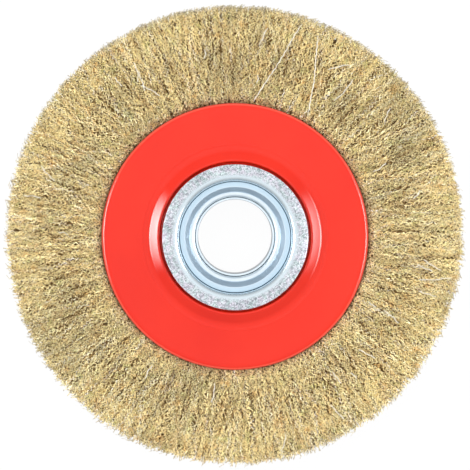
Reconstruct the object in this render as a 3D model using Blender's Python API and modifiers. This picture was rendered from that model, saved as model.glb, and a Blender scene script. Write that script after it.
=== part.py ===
"""Crimped-wire wheel brush for a bench grinder: 200 mm across, 25 mm wide, with a 32 mm arbor bore.

Two red pressed steel side plates clamp a thick ring of crimped, brass-coated wires. Each wire is
folded over a steel hoop inside the ring, so both of its ends point outwards. Zinc-plated hub collars
hold the plates from both sides. Two cups lie in the collars, and their tubes slide into each other and
make the arbor bore. The axis is +Z, and the origin is on the axis, midway between the two faces.
Lengths are in metres.
"""

import math

import bpy
from mathutils import Vector, noise

MM = 0.001

# The wheel as a whole
WHEEL_DIAMETER = 200 * MM
WIRE_FACE_WIDTH = 25 * MM
HUB_WIDTH = 27 * MM
BORE_DIAMETER = 32 * MM
SEAT_GAP = 0.3 * MM

# Red side plates: pressed sheet with a boss, a rounded step, a flat annulus and a rolled rim
PLATE_DIAMETER = 115 * MM
PLATE_SHEET = 1.2 * MM
PLATE_SPREAD = 18 * MM
PLATE_BOSS_DIAMETER = 66 * MM
PLATE_STEP_RUN = 5.2 * MM
PLATE_RIM_ROLL = 1.6 * MM
PLATE_RIM_SKIRT = 0.4 * MM

# Zinc-plated hub collars: a flange whose inner edge rolls down into a well with a narrow seat
COLLAR_DIAMETER = 62.4 * MM
COLLAR_SHEET = 1.5 * MM
COLLAR_WELL_DIAMETER = 48 * MM
COLLAR_SHOULDER = 2.6 * MM
COLLAR_SEAT_WIDTH = 1.6 * MM

# Zinc-plated bore cups: a ledge on the collar's seat, a steep wall, a rounded lip and a tube
CUP_SHEET = 1 * MM
CUP_LEDGE_DEPTH = 3.4 * MM
CUP_LEDGE_WIDTH = 2.2 * MM
CUP_WALL_RUN = 2.2 * MM
CUP_WALL_DROP = 3.5 * MM
CUP_LIP_ROUND = 1.9 * MM

# Steel hoop that the wires are folded over
HOOP_DIAMETER = 80 * MM
HOOP_WIRE_DIAMETER = 5 * MM

# Crimped wires: tufts side by side, each swaying from row to row as the crimp does
TUFT_COUNT = 66
TUFT_HEIGHT = 2 * MM
CRIMP_ROWS = 6
CRIMP_SWAY = 1.3 * MM
SWELL_QUICKNESS = 9
LEG_GAP = 0.4 * MM
RIM_CROWN = 0.3 * MM
TIP_RAGGEDNESS = 3 * MM
FRAY_PATCH = 8 * MM
FRAY_SEED = 6

# Facets around each turned piece
PLATE_FACETS = 48
HUB_FACETS = 36
HOOP_FACETS = 36
HOOP_SECTION_FACETS = 6
COLUMNS_PER_TUFT = 2
SHARP_EDGE = math.radians(35)
MERGE_DISTANCE = 0.01 * MM

# Places that follow from the sizes above
WHEEL_RADIUS = WHEEL_DIAMETER / 2
PLATE_RADIUS = PLATE_DIAMETER / 2
HUB_FACE = HUB_WIDTH / 2
PLATE_FACE = PLATE_SPREAD / 2
PLATE_BOSS_FACE = HUB_FACE - COLLAR_SHEET - SEAT_GAP
WELL_RADIUS = COLLAR_WELL_DIAMETER / 2
LEDGE_FACE = HUB_FACE - CUP_LEDGE_DEPTH
SEAT_FACE = LEDGE_FACE - CUP_SHEET - SEAT_GAP
LIP_FACE = LEDGE_FACE - CUP_WALL_DROP
REAR_TUBE_RADIUS = BORE_DIAMETER / 2
FRONT_TUBE_RADIUS = REAR_TUBE_RADIUS + CUP_SHEET + SEAT_GAP
HOOP_RADIUS = HOOP_DIAMETER / 2
FOLD_RADIUS = HOOP_WIRE_DIAMETER / 2 + SEAT_GAP
ROOT_FACE = PLATE_FACE - max(PLATE_SHEET, PLATE_RIM_ROLL + PLATE_RIM_SKIRT) - SEAT_GAP
BRUSH_FACE = WIRE_FACE_WIDTH / 2 - TUFT_HEIGHT / 2
ROW_STEP = (WHEEL_RADIUS - RIM_CROWN - PLATE_RADIUS) / CRIMP_ROWS

RED = (0.80, 0.035, 0.022)
ZINC = (0.70, 0.76, 0.82)
BRASSY = (0.52, 0.38, 0.18)
STEEL = (0.42, 0.42, 0.43)


def clear_scene():
    for old in list(bpy.data.objects):
        bpy.data.objects.remove(old, do_unlink=True)


def new_collection(name):
    collection = bpy.data.collections.new(name)
    bpy.context.scene.collection.children.link(collection)
    return collection


def make_material(name, colour, roughness, metallic):
    material = bpy.data.materials.new(name)
    material.use_nodes = True
    shader = material.node_tree.nodes["Principled BSDF"]
    shader.inputs["Base Color"].default_value = (*colour, 1)
    shader.inputs["Roughness"].default_value = roughness
    shader.inputs["Metallic"].default_value = metallic
    return material


def arc(centre_r, centre_z, radius, start_deg, end_deg, steps):
    """Points of a circle's arc in the (r, z) plane, both ends included."""
    points = []
    for i in range(steps + 1):
        angle = math.radians(start_deg + (end_deg - start_deg) * i / steps)
        points.append((centre_r + radius * math.cos(angle), centre_z + radius * math.sin(angle)))
    return points


def turned(name, profile, closed, facets, sheet, material, collection):
    """Turn an (r, z) profile about Z. Given a sheet, the turned surface gets that wall behind it.

    The profile runs outwards along the face that looks up, so the turned faces look outwards.
    """
    count = len(profile)
    edges = [(i, i + 1) for i in range(count - 1)]
    if closed:
        edges.append((count - 1, 0))
    outline = bpy.data.meshes.new(name)
    outline.from_pydata([(r, 0, z) for r, z in profile], edges, [])
    obj = bpy.data.objects.new(name, outline)
    collection.objects.link(obj)

    screw = obj.modifiers.new("turn", "SCREW")
    screw.axis = "Z"
    screw.steps = facets
    screw.render_steps = facets
    screw.use_merge_vertices = True
    screw.merge_threshold = MERGE_DISTANCE
    if sheet:
        wall = obj.modifiers.new("sheet", "SOLIDIFY")
        wall.thickness = sheet
        wall.offset = -1
        wall.use_even_offset = True

    obj.data = bpy.data.meshes.new_from_object(obj.evaluated_get(bpy.context.evaluated_depsgraph_get()))
    obj.data.name = name
    obj.modifiers.clear()
    bpy.data.meshes.remove(outline)
    obj.data.materials.append(material)
    finish_shading(obj)
    return obj


def finish_shading(obj):
    obj.data.shade_smooth()
    obj.data.set_sharp_from_angle(angle=SHARP_EDGE)


def turn_over(obj):
    """Face a piece made for the front of the wheel to the rear."""
    obj.rotation_euler = (math.pi, 0, 0)


def rear_twin(front, name, collection):
    twin = bpy.data.objects.new(name, front.data)
    collection.objects.link(twin)
    turn_over(twin)
    return twin


def side_plate_profile():
    """Boss under the collar's flange, an S-shaped step down, the flat annulus, the rolled rim, its skirt."""
    hole_radius = WELL_RADIUS + max(COLLAR_SHOULDER, COLLAR_SHEET + SEAT_GAP)
    boss_radius = PLATE_BOSS_DIAMETER / 2
    step_count = 3
    profile = [(hole_radius, PLATE_BOSS_FACE), (boss_radius, PLATE_BOSS_FACE)]
    for i in range(1, step_count + 1):
        share = i / step_count
        drop = (1 - math.cos(math.pi * share)) / 2
        profile.append((boss_radius + PLATE_STEP_RUN * share,
                        PLATE_BOSS_FACE + (PLATE_FACE - PLATE_BOSS_FACE) * drop))
    roll_centre_r = PLATE_RADIUS - PLATE_RIM_ROLL
    roll_centre_z = PLATE_FACE - PLATE_RIM_ROLL
    profile += arc(roll_centre_r, roll_centre_z, PLATE_RIM_ROLL, 90, 0, 2)
    profile.append((PLATE_RADIUS, roll_centre_z - PLATE_RIM_SKIRT))
    return profile


def hub_collar_profile():
    """Seat at the foot of the well, the well's wall, the rounded shoulder and the flat flange."""
    shoulder_r = WELL_RADIUS + COLLAR_SHOULDER
    shoulder_z = HUB_FACE - COLLAR_SHOULDER
    profile = [(WELL_RADIUS - COLLAR_SEAT_WIDTH, SEAT_FACE), (WELL_RADIUS, SEAT_FACE)]
    profile += arc(shoulder_r, shoulder_z, COLLAR_SHOULDER, 180, 90, 3)
    profile.append((COLLAR_DIAMETER / 2, HUB_FACE))
    return profile


def bore_cup_profile(tube_radius, tube_end):
    """Tube from its inner end up to the rounded lip, the steep wall, and the ledge on the seat."""
    ledge_radius = WELL_RADIUS - SEAT_GAP
    wall_top_radius = ledge_radius - CUP_LEDGE_WIDTH
    wall_foot_radius = wall_top_radius - CUP_WALL_RUN
    profile = [(tube_radius, tube_end)]
    profile += arc(tube_radius + CUP_LIP_ROUND, LIP_FACE - CUP_LIP_ROUND, CUP_LIP_ROUND, 180, 90, 3)
    profile.append((wall_foot_radius, LIP_FACE))
    profile.append((wall_top_radius, LEDGE_FACE))
    profile.append((ledge_radius, LEDGE_FACE))
    return profile


def swell(radius):
    """Half width of the brush: nipped by the plates' rims, and quickly wider outside them."""
    share = (radius - PLATE_RADIUS) / (WHEEL_RADIUS - PLATE_RADIUS)
    share = min(max(share, 0), 1)
    return ROOT_FACE + (BRUSH_FACE - ROOT_FACE) * (1 - (1 - share) ** SWELL_QUICKNESS)


def wire_fill_profile():
    """Section of the folded wires: a U that lies round the hoop, its two legs pointing outwards."""
    half_gap = LEG_GAP / 2
    mouth_deg = math.degrees(math.asin(half_gap / FOLD_RADIUS))
    front_leg = [(PLATE_RADIUS + ROW_STEP * i, swell(PLATE_RADIUS + ROW_STEP * i))
                 for i in range(CRIMP_ROWS + 1)]
    front_leg.append((WHEEL_RADIUS, half_gap))
    rear_leg = [(r, -z) for r, z in reversed(front_leg)]
    round_hoop = arc(HOOP_RADIUS, 0, FOLD_RADIUS, mouth_deg, 360 - mouth_deg, HOOP_SECTION_FACETS)
    outer_fold = arc(HOOP_RADIUS, 0, ROOT_FACE, 270, 90, 3)
    return outer_fold + front_leg + round_hoop + rear_leg


def fray(x, y, z):
    """How short a tip is cut, from 0 to 1. All quarters are alike, so the wheel keeps its balance."""
    unevenness = noise.noise(Vector((abs(x), abs(y), z)) / FRAY_PATCH + Vector((0, 0, FRAY_SEED)))
    return max(0, min(1, 0.55 + 1.3 * unevenness))


def crimp(obj):
    """Raise the tufts on the turned ring, sway them from row to row, and make their tips ragged."""
    for vertex in obj.data.vertices:
        x, y, z = vertex.co
        radius = math.hypot(x, y)
        angle = math.atan2(y, x)
        rows_out = (radius - PLATE_RADIUS) / ROW_STEP
        if rows_out < 0.5:
            continue
        side = max(-1, min(1, z / BRUSH_FACE))
        uneven = noise.noise(vertex.co / (3 * MM))
        ridge = math.cos(TUFT_COUNT * angle)
        lift = TUFT_HEIGHT / 2 * side * max(-1, min(1, ridge + uneven))
        sway = CRIMP_SWAY * math.cos(math.pi * rows_out) * abs(side)
        if rows_out > CRIMP_ROWS - 0.5:
            radius -= TIP_RAGGEDNESS * fray(x, y, z)
        angle += sway / radius
        vertex.co = (radius * math.cos(angle), radius * math.sin(angle), z + lift)


def build():
    clear_scene()
    parts = new_collection("wire_wheel_brush")
    red_paint = make_material("red_paint", RED, 0.25, 0)
    blue_zinc = make_material("zinc_plate", ZINC, 0.35, 1)
    brassy_wire = make_material("brass_coated_wire", BRASSY, 0.4, 1)
    plain_steel = make_material("plain_steel", STEEL, 0.4, 1)

    front_plate = turned("front_side_plate", side_plate_profile(), False, PLATE_FACETS, PLATE_SHEET,
                         red_paint, parts)
    rear_twin(front_plate, "rear_side_plate", parts)

    front_collar = turned("front_hub_collar", hub_collar_profile(), False, HUB_FACETS, COLLAR_SHEET,
                          blue_zinc, parts)
    rear_twin(front_collar, "rear_hub_collar", parts)

    lip_foot = LIP_FACE - CUP_LIP_ROUND
    turned("front_bore_cup", bore_cup_profile(FRONT_TUBE_RADIUS, SEAT_GAP - lip_foot), False,
           HUB_FACETS, CUP_SHEET, blue_zinc, parts)
    rear_cup = turned("rear_bore_cup", bore_cup_profile(REAR_TUBE_RADIUS, -lip_foot), False,
                      HUB_FACETS, CUP_SHEET, blue_zinc, parts)
    turn_over(rear_cup)

    bpy.ops.mesh.primitive_torus_add(major_segments=HOOP_FACETS, minor_segments=HOOP_SECTION_FACETS,
                                     major_radius=HOOP_RADIUS, minor_radius=HOOP_WIRE_DIAMETER / 2)
    hoop = bpy.context.object
    hoop.name = "retaining_hoop"
    bpy.context.collection.objects.unlink(hoop)
    parts.objects.link(hoop)
    hoop.data.materials.append(plain_steel)
    finish_shading(hoop)

    fill = turned("wire_fill", wire_fill_profile(), True, TUFT_COUNT * COLUMNS_PER_TUFT, None,
                  brassy_wire, parts)
    crimp(fill)


build()
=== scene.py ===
# %% [markdown]
# Wire wheel brush, dressed for the camera.
#
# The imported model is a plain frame: eight solids of the right size in the right place. This lesson
# builds the surfaces that a camera sees around that frame. The brush is crimped wire, thousands of
# strands thick, so most of the work is in making one wire well and laying copies of it. The two red
# side plates and the zinc-plated hub are turned shapes, and there the finish does most of the work.

# %% Load the frame
import math

from collections import namedtuple

import bpy
import numpy as np
from mathutils import Matrix, Vector


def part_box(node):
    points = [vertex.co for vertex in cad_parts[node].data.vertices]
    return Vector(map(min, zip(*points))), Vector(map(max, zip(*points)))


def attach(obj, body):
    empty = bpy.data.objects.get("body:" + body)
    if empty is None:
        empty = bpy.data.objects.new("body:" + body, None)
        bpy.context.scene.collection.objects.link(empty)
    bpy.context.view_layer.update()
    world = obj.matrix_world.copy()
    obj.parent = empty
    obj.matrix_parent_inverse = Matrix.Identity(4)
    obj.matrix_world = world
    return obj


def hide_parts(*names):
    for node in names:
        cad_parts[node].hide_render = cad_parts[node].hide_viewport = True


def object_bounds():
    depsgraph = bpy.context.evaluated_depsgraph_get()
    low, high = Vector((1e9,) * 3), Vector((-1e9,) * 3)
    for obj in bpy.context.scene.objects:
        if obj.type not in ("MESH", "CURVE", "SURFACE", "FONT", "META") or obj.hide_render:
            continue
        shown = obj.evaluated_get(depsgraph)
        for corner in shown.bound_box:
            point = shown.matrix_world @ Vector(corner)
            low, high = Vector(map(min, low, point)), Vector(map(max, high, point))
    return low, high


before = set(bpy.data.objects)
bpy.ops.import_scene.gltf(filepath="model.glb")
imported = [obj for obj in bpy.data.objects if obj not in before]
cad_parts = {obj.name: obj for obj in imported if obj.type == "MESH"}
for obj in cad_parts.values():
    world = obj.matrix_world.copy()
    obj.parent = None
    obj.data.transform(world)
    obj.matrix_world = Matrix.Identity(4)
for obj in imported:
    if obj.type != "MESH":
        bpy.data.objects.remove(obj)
CAD_BOX = [list(corner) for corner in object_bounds()]
MM = 0.001
print("CAD box in mm:", [[round(v / MM, 2) for v in corner] for corner in CAD_BOX])

# %% [markdown]
# Every place in the scene comes from the frame where it can. The box of each solid gives the outer
# sizes of its piece, and the few sizes inside a piece, such as where the boss of a plate ends, are
# named here once.

# %% Sizes from the frame
BRUSH_RADIUS = min(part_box("wire_fill")[1].x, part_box("wire_fill")[1].y, CAD_BOX[1][0], CAD_BOX[1][1])
BRUSH_HALF_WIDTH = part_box("wire_fill")[1].z
PLATE_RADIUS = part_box("front_side_plate")[1].x
PLATE_BOSS_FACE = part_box("front_side_plate")[1].z
PLATE_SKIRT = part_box("front_side_plate")[0].z
COLLAR_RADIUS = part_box("front_hub_collar")[1].x
HUB_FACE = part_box("front_hub_collar")[1].z
COLLAR_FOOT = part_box("front_hub_collar")[0].z
CUP_LEDGE_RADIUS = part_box("front_bore_cup")[1].x
CUP_LEDGE_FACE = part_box("front_bore_cup")[1].z
FRONT_TUBE_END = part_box("front_bore_cup")[0].z
REAR_TUBE_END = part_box("rear_bore_cup")[1].z
FLOOR_Z = CAD_BOX[0][2]
print("brush radius", round(BRUSH_RADIUS / MM, 2), "plate", round(PLATE_RADIUS / MM, 2),
      "collar", round(COLLAR_RADIUS / MM, 2), "floor", round(FLOOR_Z / MM, 2))

# %% [markdown]
# The camera looks almost straight down on the wheel, which lies on a table. It stands two degrees off
# the axle, which shows in how the bore sits inside the hub. The focal length follows from the
# distance and from how many pixels of the 470 pixel picture one millimetre of the wheel takes.

# %% Camera
PICTURE_PX = 470
PX_PER_MM = 2.305
CAMERA_DISTANCE = 800 * MM
CAMERA_TILT = math.radians(2.2)
CAMERA_LEAN = math.radians(-0.8)
AIM = (0.05 * MM, 0.52 * MM, 0)
SENSOR_MM = 36

camera_data = bpy.data.cameras.new("camera")
camera_data.sensor_width = SENSOR_MM
camera_data.lens = PX_PER_MM * CAMERA_DISTANCE / MM * SENSOR_MM / PICTURE_PX
camera_data.clip_start = 0.05
camera_data.clip_end = 20
camera = bpy.data.objects.new("camera", camera_data)
bpy.context.scene.collection.objects.link(camera)
camera.rotation_euler = (-CAMERA_TILT, CAMERA_LEAN, 0)
camera.location = Vector(AIM) + camera.rotation_euler.to_matrix() @ Vector((0, 0, CAMERA_DISTANCE))
bpy.context.scene.camera = camera
bpy.context.scene.view_settings.view_transform = "Standard"
print("focal length", round(camera_data.lens, 1), "mm")

# %% [markdown]
# The table, the lamps, the world and every finish are trees of shader nodes. Writing the sums of a
# tree as Python expressions keeps them readable, so a number is wrapped in a class that knows plus,
# minus, times and divided by, from both sides. Every other node comes from one method, which adds it,
# sets it up and joins its inputs.


# %% Shader sums and shader trees
def both_ways(operation):
    """An operator and its reflected form, for amount + 1 and for 1 + amount."""
    return (lambda amount, other: amount._maths(operation, amount, other),
            lambda amount, other: amount._maths(operation, other, amount))


class Amount:
    """A number that may differ from place to place."""

    def __init__(self, tree, socket):
        self.tree = tree
        self.socket = socket

    def _maths(self, operation, first, second):
        return self.tree.amount("ShaderNodeMath", 0, {"operation": operation}, {0: first, 1: second})

    __add__, __radd__ = both_ways("ADD")
    __sub__, __rsub__ = both_ways("SUBTRACT")
    __mul__, __rmul__ = both_ways("MULTIPLY")
    __truediv__, __rtruediv__ = both_ways("DIVIDE")

    def at_least(self, other):
        return self._maths("MAXIMUM", self, other)

    def at_most(self, other):
        return self._maths("MINIMUM", self, other)

    def clamped(self):
        return self.at_least(0).at_most(1)

    def sine(self):
        return self._maths("SINE", self, 0)

    def power(self, exponent):
        return self._maths("POWER", self, exponent)

    def size(self):
        return self._maths("ABSOLUTE", self, 0)


class ShaderTree:
    """The node tree of a material, a lamp or the world."""

    def __init__(self, owner):
        owner.use_nodes = True
        self.tree = owner.node_tree

    def node(self, kind, settings=None, inputs=None):
        """Add a node, set it up, then give its inputs values or links."""
        node = self.tree.nodes.new(kind)
        for name, value in (settings or {}).items():
            if name == "stops":
                self._set_stops(node.color_ramp, value)
            else:
                setattr(node, name, value)
        for name, value in (inputs or {}).items():
            self.feed(node.inputs[name], value)
        return node

    def feed(self, socket, value):
        if isinstance(value, Amount):
            value = value.socket
        if isinstance(value, bpy.types.NodeSocket):
            self.tree.links.new(value, socket)
        else:
            socket.default_value = value

    @staticmethod
    def _set_stops(ramp, stops):
        while len(ramp.elements) < len(stops):
            ramp.elements.new(1)
        for element, (place, colour) in zip(ramp.elements, stops):
            element.position = place
            element.color = (*colour, 1)

    def amount(self, kind, output, settings=None, inputs=None):
        """The number that a node gives out at one of its outputs."""
        return Amount(self, self.node(kind, settings, inputs).outputs[output])

    def slide(self, amount, start, end, first, last, shape="LINEAR"):
        """Go from the first value to the last while an amount goes from start to end."""
        return self.amount("ShaderNodeMapRange", "Result", {"interpolation_type": shape},
                           {"Value": amount, "From Min": start, "From Max": end,
                            "To Min": first, "To Max": last})


print("shader classes:", Amount.__name__, ShaderTree.__name__)

# %% [markdown]
# The wheel lies on a plain white table. The table is white to the camera and in reflections, but a
# little of its true shading is kept, so the wheel still casts a faint shadow on it.

# %% The table
FLOOR_SIZE = 3.0
FLOOR_WHITE = (0.9, 0.9, 0.9, 1)
FLOOR_SHADE_KEPT = 0.05
PURE_WHITE = (1, 1, 1, 1)


def deselect_all():
    for other in bpy.context.selected_objects:
        other.select_set(False)


def white_to_the_eye(tree, shaded, strength):
    """Mix a plain white glow over a shader for camera, mirror and glass rays only."""
    rays = tree.node("ShaderNodeLightPath").outputs
    seen = Amount(tree, rays["Is Camera Ray"])
    for kind in ("Is Glossy Ray", "Is Transmission Ray"):
        seen = seen.at_least(rays[kind])
    glow = tree.node("ShaderNodeEmission", None, {"Color": PURE_WHITE, "Strength": 1.0})
    return tree.node("ShaderNodeMixShader", None,
                     {0: seen * strength, 1: shaded.outputs[0], 2: glow.outputs[0]}).outputs[0]


deselect_all()
bpy.ops.mesh.primitive_plane_add(size=FLOOR_SIZE, location=(0, 0, FLOOR_Z))
floor = bpy.context.object
floor.name = "table_top"
floor.data.materials.append(bpy.data.materials.new("table_white"))
table = ShaderTree(floor.data.materials[0])
table_shader = table.tree.nodes["Principled BSDF"]
table_shader.inputs["Base Color"].default_value = FLOOR_WHITE
table_shader.inputs["Roughness"].default_value = 0.9
table.feed(table.tree.nodes["Material Output"].inputs["Surface"],
           white_to_the_eye(table, table_shader, 1 - FLOOR_SHADE_KEPT))
print("table top", FLOOR_SIZE, "m wide at", round(FLOOR_Z / MM, 2), "mm")

# %% [markdown]
# The light is that of a soft studio. The world gives a faint glow from all round and a broad soft
# light from overhead. In mirrors the world is a white room that fades towards the horizon, so that
# bright metal shows its form, and to the camera it is plain white.
#
# Two narrow soft boxes stand left and right, low enough to be mirrored in the steps of the plates and
# in the shoulders of the hub, where the photograph shows a bright streak on each side. A soft box is
# brightest in its middle and fades to its edge, so that a streak has no hard end. Raising its middle
# by the peak below makes up for the fading, so that its watts mean what they say.
#
# The wires shade one another, so this light is stronger than a plain one. A matte face that looks
# straight up renders about 1.7 times as bright as its colour is written.

# %% Lamps and world
WORLD_LEVEL = 0.34
OVERHEAD_LEVEL = 2.75
OVERHEAD_WAY = (-0.10, 0.30, 0.949)
OVERHEAD_EDGE = (0.72, 0.92)
HORIZON_LEVEL = 0.5
HORIZON_RISE = (0.1, 0.85)
SOFT_BOX_PEAK = 4.24


def soft_box(name, place, turn_deg, width, height, watts):
    """A lamp behind cloth: brightest in its middle, fading to nothing at its edge."""
    data = bpy.data.lights.new(name, "AREA")
    data.shape = "RECTANGLE"
    data.size = width
    data.size_y = height
    data.energy = watts
    cloth = ShaderTree(data)
    on_cloth = cloth.node("ShaderNodeNewGeometry").outputs["Parametric"]
    from_middle = cloth.amount("ShaderNodeVectorMath", "Value", {"operation": "DISTANCE"},
                               {0: on_cloth, 1: (0.5, 0.5, 0)})
    fading = cloth.slide(from_middle, 0.5, 0.0, 0.0, SOFT_BOX_PEAK, "SMOOTHSTEP")
    cloth.feed(cloth.tree.nodes["Emission"].inputs["Strength"], fading)
    lamp = bpy.data.objects.new(name, data)
    bpy.context.scene.collection.objects.link(lamp)
    lamp.location = place
    lamp.rotation_euler = [math.radians(angle) for angle in turn_deg]


world = bpy.data.worlds.new("studio")
bpy.context.scene.world = world
air = ShaderTree(world)
way = air.node("ShaderNodeTexCoord").outputs["Generated"]
upward = air.amount("ShaderNodeSeparateXYZ", "Z", None, {0: way})
mirrored_level = air.slide(upward, *HORIZON_RISE, HORIZON_LEVEL, 1.0)
towards_overhead = air.amount("ShaderNodeVectorMath", "Value", {"operation": "DOT_PRODUCT"},
                              {0: way, 1: OVERHEAD_WAY})
soft_level = air.slide(towards_overhead, *OVERHEAD_EDGE, WORLD_LEVEL, OVERHEAD_LEVEL)
ray = air.node("ShaderNodeLightPath").outputs
lit_level = air.node("ShaderNodeMix", None, {
    "Factor": ray["Is Glossy Ray"], "A": soft_level, "B": mirrored_level}).outputs[0]
seen_level = air.node("ShaderNodeMix", None, {
    "Factor": ray["Is Camera Ray"], "A": lit_level, "B": 1.0}).outputs[0]
background = air.tree.nodes["Background"].inputs
air.feed(background["Strength"], seen_level)
air.feed(background["Color"], PURE_WHITE)

soft_box("soft_box_left", (-0.9, 0.05, 0.52), (0, -60, 0), 0.34, 1.10, 7.2)
soft_box("soft_box_right", (0.9, 0.0, 0.57), (0, 57.5, 0), 0.42, 1.20, 7.6)
print("two soft boxes, and a world of", WORLD_LEVEL, "to", OVERHEAD_LEVEL)

# %% [markdown]
# A finish is a shader tree with words of its own: where a point lies on the wheel, noise, ramps of
# colour, and bumps. Much of what differs on a wheel differs with the distance from its axle, so one
# more helper is 0 up to some radius and rises to 1 over a short run.


# %% The finish of a surface
class Finish(ShaderTree):
    """One material, with a Principled shader that its patterns feed."""

    def __init__(self, name, metallic):
        self.material = bpy.data.materials.new(name)
        super().__init__(self.material)
        self.shader = self.tree.nodes["Principled BSDF"]
        self.shader.inputs["Metallic"].default_value = metallic

    def place(self):
        return self.node("ShaderNodeTexCoord").outputs["Object"]

    def axes(self):
        """The three coordinates of each point."""
        split = self.node("ShaderNodeSeparateXYZ", None, {0: self.place()})
        return [Amount(self, split.outputs[i]) for i in range(3)]

    def radius(self):
        """The distance of each point from the axle."""
        x, y = self.axes()[:2]
        return (x * x + y * y).power(0.5)

    def noise(self, vector, scale, detail=2.0, roughness=0.5):
        return self.amount("ShaderNodeTexNoise", "Fac", None, {
            "Vector": vector, "Scale": scale, "Detail": detail, "Roughness": roughness})

    def cells(self, vector, scale):
        """A number by chance for each of many small cells."""
        cell = self.node("ShaderNodeTexVoronoi", None, {"Vector": vector, "Scale": scale})
        return self.amount("ShaderNodeSeparateColor", 0, None, {0: cell.outputs["Color"]})

    def ramp(self, amount, stops):
        return self.node("ShaderNodeValToRGB", {"stops": stops}, {0: amount}).outputs[0]

    def mix(self, share, first, second, blend="MIX"):
        return self.node("ShaderNodeMix", {"data_type": "RGBA", "blend_type": blend},
                         {0: share, 6: first, 7: second}).outputs[2]

    def times(self, first, second):
        return self.mix(1.0, first, second, "MULTIPLY")

    def bump(self, height, strength, distance):
        bumped = self.node("ShaderNodeBump", None, {
            "Strength": strength, "Distance": distance, "Height": height})
        self.feed(self.shader.inputs["Normal"], bumped.outputs[0])

    def colour(self, value):
        self.feed(self.shader.inputs["Base Color"], value)

    def roughness(self, value):
        self.feed(self.shader.inputs["Roughness"], value)


def past(amount, start, run):
    """0 up to the start, then rising to 1 over the run. A run below 0 rises the other way."""
    return ((amount - start) / run).clamped()


print("finish class:", Finish.__name__)

# %% [markdown]
# The side plates are stamped from sheet and dipped in a glossy red enamel. Such paint is one colour,
# but never dead even: it is a little deeper where it has run together, and its skin has a faint
# orange-peel swell, which breaks the edges of the reflections. Both are noise on object coordinates.


# %% Red enamel
RIM_HIGHLIGHT_RADIUS = 56.2 * MM
RIM_EDGE_SHADE_RADIUS = 56.95 * MM
GROOVE_SHADOW_RADIUS = 32.8 * MM


def red_enamel():
    """Red enamel, with a painted highlight on the rolled rim, painted shade on its cut edge and a
    painted shadow in the collar's groove.
    """
    finish = Finish("red_enamel", 0.0)
    place = finish.place()
    radius = finish.radius()
    pooled = finish.noise(place, 28, 3)
    peel = finish.noise(place, 520, 2)
    # Painted highlight: the enamel is painted paler on the rolled rim.
    rim_highlight = past(radius, RIM_HIGHLIGHT_RADIUS, 0.5 * MM) * 0.7
    # Painted shade: the outermost edge of the rim is painted dark, as the shade of the wires.
    edge_shade = past(radius, RIM_EDGE_SHADE_RADIUS, 0.3 * MM) * 0.6
    # Painted shadow: the groove under the collar's edge is painted almost black.
    groove_shadow = past(radius, GROOVE_SHADOW_RADIUS, -0.7 * MM) * 0.4
    red = finish.ramp(pooled, [(0.3, (0.56, 0.010, 0.001)), (0.7, (0.61, 0.015, 0.002))])
    rim_highlighted = finish.mix(rim_highlight, red, (0.76, 0.10, 0.07, 1))
    edge_shaded = finish.mix(edge_shade, rim_highlighted, (0.34, 0.07, 0.05, 1))
    finish.colour(finish.mix(groove_shadow, edge_shaded, (0.08, 0.004, 0.002, 1)))
    finish.roughness(0.20 + 0.10 * finish.noise(place, 150, 2))
    finish.shader.inputs["Specular IOR Level"].default_value = 0.0
    finish.shader.inputs["Coat Weight"].default_value = 0.9
    finish.shader.inputs["Coat Roughness"].default_value = 0.11
    finish.bump(peel, 0.06, 0.3 * MM)
    return finish.material


RED_ENAMEL = red_enamel()
print("finish:", RED_ENAMEL.name)

# %% [markdown]
# The hub is zinc-plated. The cups are bright and bluish. The collars were stamped from coarser sheet,
# so their flat faces sparkle with a fine grain in which the passivation shows faint pink and green.


# %% Zinc plate, bright and grainy
IN_TUBE_RADIUS = 16.3 * MM
WALL_FOOT_RADIUS = 19.0 * MM
WALL_TOP_RADIUS = 21.7 * MM
LEDGE_RADIUS = 21.6 * MM
GRAIN_STARTS = 26.2 * MM
TURNING_MARKS = 9000


def bright_zinc():
    """Smooth plating, with painted shade: darker on the steep wall of the cup and dark inside the tube.
    """
    finish = Finish("bright_zinc", 1.0)
    radius = finish.radius()
    cloud = finish.noise(finish.place(), 160, 3)
    turning = (radius * TURNING_MARKS).sine() * 0.5 + 0.5
    plated = finish.ramp(cloud, [(0.3, (0.74, 0.85, 0.93)), (0.7, (0.82, 0.92, 0.98))])
    # Painted shade: the inside of the tube is painted dark grey.
    tube_shade = past(radius, IN_TUBE_RADIUS, -0.3 * MM)
    # Painted shade: the steep wall of the cup is painted a darker blue-grey.
    wall_shade = past(radius, WALL_FOOT_RADIUS, 0.4 * MM) * past(radius, WALL_TOP_RADIUS, -0.3 * MM)
    on_ledge = past(radius, LEDGE_RADIUS, 0.2 * MM)
    ledged = finish.mix(on_ledge, plated, (0.61, 0.78, 0.91, 1))
    wall_shaded = finish.mix(wall_shade, ledged, (0.66, 0.79, 0.90, 1))
    finish.colour(finish.mix(tube_shade, wall_shaded, (0.26, 0.28, 0.30, 1)))
    finish.roughness(0.26 + 0.08 * cloud + 0.04 * turning)
    finish.bump(turning, 0.03, 0.05 * MM)
    return finish.material


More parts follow.
